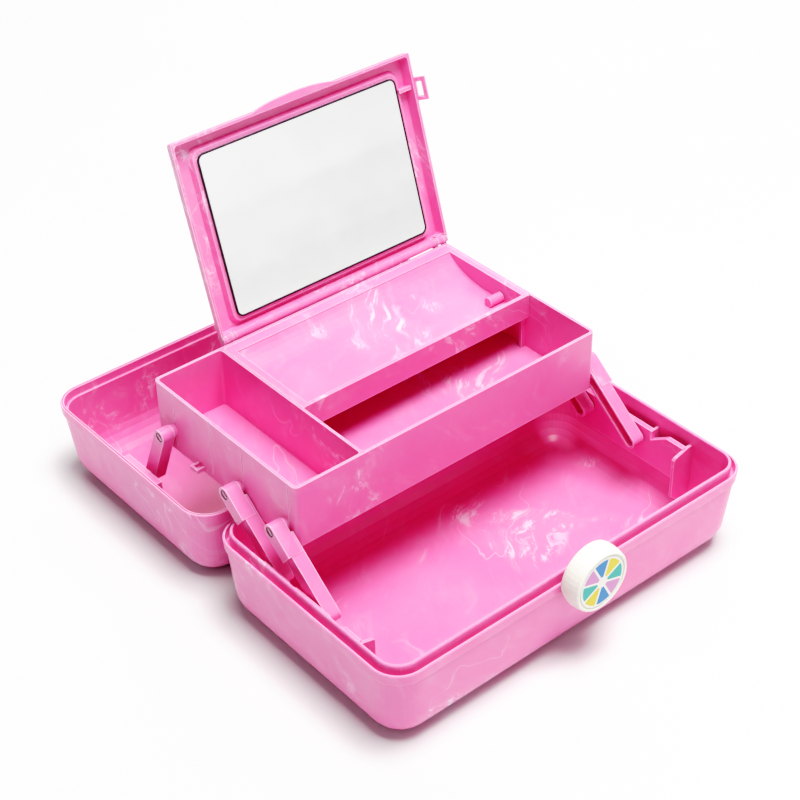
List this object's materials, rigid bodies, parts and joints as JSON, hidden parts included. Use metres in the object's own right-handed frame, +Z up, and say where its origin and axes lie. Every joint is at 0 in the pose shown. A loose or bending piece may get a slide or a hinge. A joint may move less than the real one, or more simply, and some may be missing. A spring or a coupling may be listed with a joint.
{
  "type": "makeup train case",
  "caption": "Moulded cosmetic train case lying open: base tub, hinged lid tub, cantilever tray on parallel arms, flip-up mirror, round front latch and a folding bail handle.",
  "frame": {"origin": "centre of the base tub's underside", "axes": "+Z up, +Y from the front latch towards the lid, +X along the rear hinge to the right of someone facing the latch"},
  "size_m": [0.33, 0.4185, 0.2764],
  "materials": {
    "shell_plastic": "marbled pink moulding, semi-gloss",
    "tray_plastic": "marbled pink moulding, semi-gloss",
    "arm_plastic": "pink moulding, semi-gloss",
    "cream_plastic": "off-white moulding, semi-gloss",
    "badge_plastic": "printed disc",
    "mirror_glass": "silvered glass",
    "pin_steel": "drawn wire"
  },
  "bodies": {
    "base": {"base_shell": "shell_plastic", "latch_pin": "pin_steel", "case_hinge_pin_left": "pin_steel", "case_hinge_pin_right": "pin_steel"},
    "lid": {"lid_shell": "shell_plastic", "handle_pin_left": "pin_steel", "handle_pin_right": "pin_steel"},
    "front_arm_left": {"front_arm_left": "arm_plastic"},
    "front_arm_right": {"front_arm_right": "arm_plastic"},
    "rear_arm_left": {"rear_arm_left": "arm_plastic"},
    "rear_arm_right": {"rear_arm_right": "arm_plastic"},
    "tray": {"tray": "tray_plastic", "insert_dish": "tray_plastic", "mirror_hinge_pin_left": "pin_steel", "mirror_hinge_pin_right": "pin_steel"},
    "lid_link_left": {"lid_link_left": "arm_plastic"},
    "lid_link_right": {"lid_link_right": "arm_plastic"},
    "mirror_flap": {"mirror_flap": "tray_plastic", "mirror_glass": "mirror_glass"},
    "latch": {"latch": "cream_plastic", "latch_badge": "badge_plastic"},
    "handle": {"handle": "cream_plastic"}
  },
  "joints": [
    {"name": "lid_hinge", "type": "hinge", "parent": "base", "child": "lid", "pos_m": [0, 0.1035, 0.0672], "axis": [1, 0, 0], "range_deg": [0, 180]},
    {"name": "front_arm_left_pivot", "type": "hinge", "parent": "base", "child": "front_arm_left", "pos_m": [-0.1455, -0.0055, 0.05], "axis": [1, 0, 0], "range_deg": [0, 119.3]},
    {"name": "front_arm_right_pivot", "type": "hinge", "parent": "base", "child": "front_arm_right", "pos_m": [0.1455, -0.0055, 0.05], "axis": [1, 0, 0], "range_deg": [0, 119.3]},
    {"name": "rear_arm_left_pivot", "type": "hinge", "parent": "base", "child": "rear_arm_left", "pos_m": [-0.1455, 0.0456, 0.05], "axis": [1, 0, 0], "range_deg": [0, 119.3]},
    {"name": "rear_arm_right_pivot", "type": "hinge", "parent": "base", "child": "rear_arm_right", "pos_m": [0.1455, 0.0456, 0.05], "axis": [1, 0, 0], "range_deg": [0, 119.3]},
    {"name": "tray_pivot", "type": "hinge", "parent": "front_arm_left", "child": "tray", "pos_m": [-0.1455, 0.04671, 0.09183], "axis": [1, 0, 0], "range_deg": [-119.3, 0]},
    {"name": "lid_link_left_pivot", "type": "hinge", "parent": "tray", "child": "lid_link_left", "pos_m": [-0.1455, 0.175, 0.0962], "axis": [1, 0, 0], "range_deg": [0, 245.2]},
    {"name": "lid_link_right_pivot", "type": "hinge", "parent": "tray", "child": "lid_link_right", "pos_m": [0.1455, 0.175, 0.0962], "axis": [1, 0, 0], "range_deg": [0, 245.2]},
    {"name": "mirror_flap_hinge", "type": "hinge", "parent": "tray", "child": "mirror_flap", "pos_m": [0.0315, 0.1999, 0.1309], "axis": [1, 0, 0], "range_deg": [0, 107.6]},
    {"name": "latch_hinge", "type": "hinge", "parent": "base", "child": "latch", "pos_m": [0, -0.1024, 0.0542], "axis": [1, 0, 0], "range_deg": [0, 32]},
    {"name": "handle_hinge", "type": "hinge", "parent": "lid", "child": "handle", "pos_m": [0, 0.1925, 0.0041], "axis": [1, 0, 0], "range_deg": [-95, 0]}
  ],
  "couplings": [
    {"joint": "front_arm_left_pivot", "follows": "lid_hinge", "ratio": 0.66277},
    {"joint": "front_arm_right_pivot", "follows": "lid_hinge", "ratio": 0.66277},
    {"joint": "rear_arm_left_pivot", "follows": "lid_hinge", "ratio": 0.66277},
    {"joint": "rear_arm_right_pivot", "follows": "lid_hinge", "ratio": 0.66277},
    {"joint": "tray_pivot", "follows": "lid_hinge", "ratio": -0.66277},
    {"joint": "lid_link_left_pivot", "follows": "lid_hinge", "ratio": 1.3622},
    {"joint": "lid_link_right_pivot", "follows": "lid_hinge", "ratio": 1.3622},
    {"joint": "mirror_flap_hinge", "follows": "lid_hinge", "ratio": 0.59777}
  ]
}
